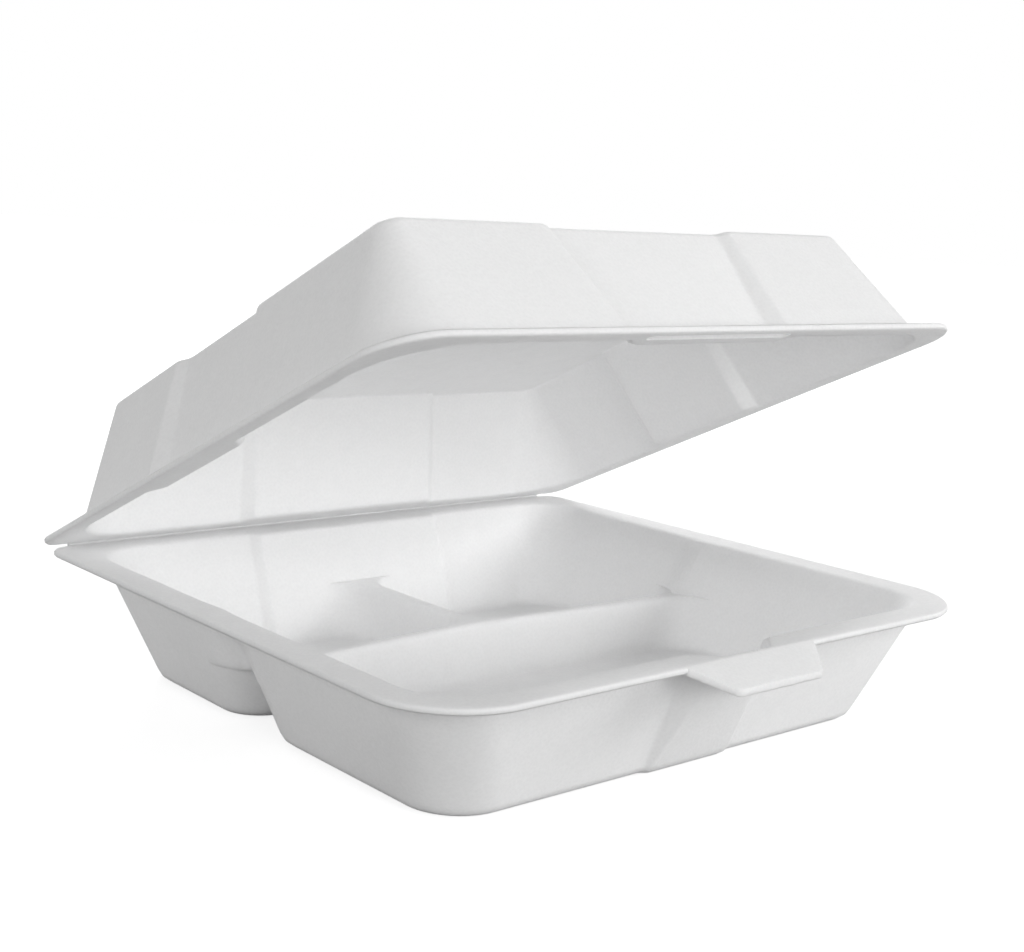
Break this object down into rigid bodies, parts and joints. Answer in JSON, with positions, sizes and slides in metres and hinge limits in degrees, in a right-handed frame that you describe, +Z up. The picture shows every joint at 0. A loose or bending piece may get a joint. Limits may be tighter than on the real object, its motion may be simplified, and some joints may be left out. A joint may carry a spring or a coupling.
{
  "type": "foam clamshell container",
  "caption": "Square hinged foam take-out container with walled-off compartments in its base, a deep lid with recessed wall panels, and a front tab that latches through a slot in the lid's rim.",
  "frame": {"origin": "on the table, under the centre of the base's rim", "axes": "+X along the hinge, +Y from the latch to the hinge, +Z up"},
  "size_m": [0.238, 0.2283, 0.1595],
  "materials": {
    "foam": "smooth matt skin of thermoformed foam"
  },
  "bodies": {
    "base": {"base_tray": "foam"},
    "lid": {"lid": "foam"}
  },
  "joints": [
    {"name": "lid_hinge", "type": "hinge", "parent": "base", "child": "lid", "pos_m": [0, 0.1082, 0.0412], "axis": [-1, 0, 0], "range_deg": [-24.4, 155.6]}
  ]
}
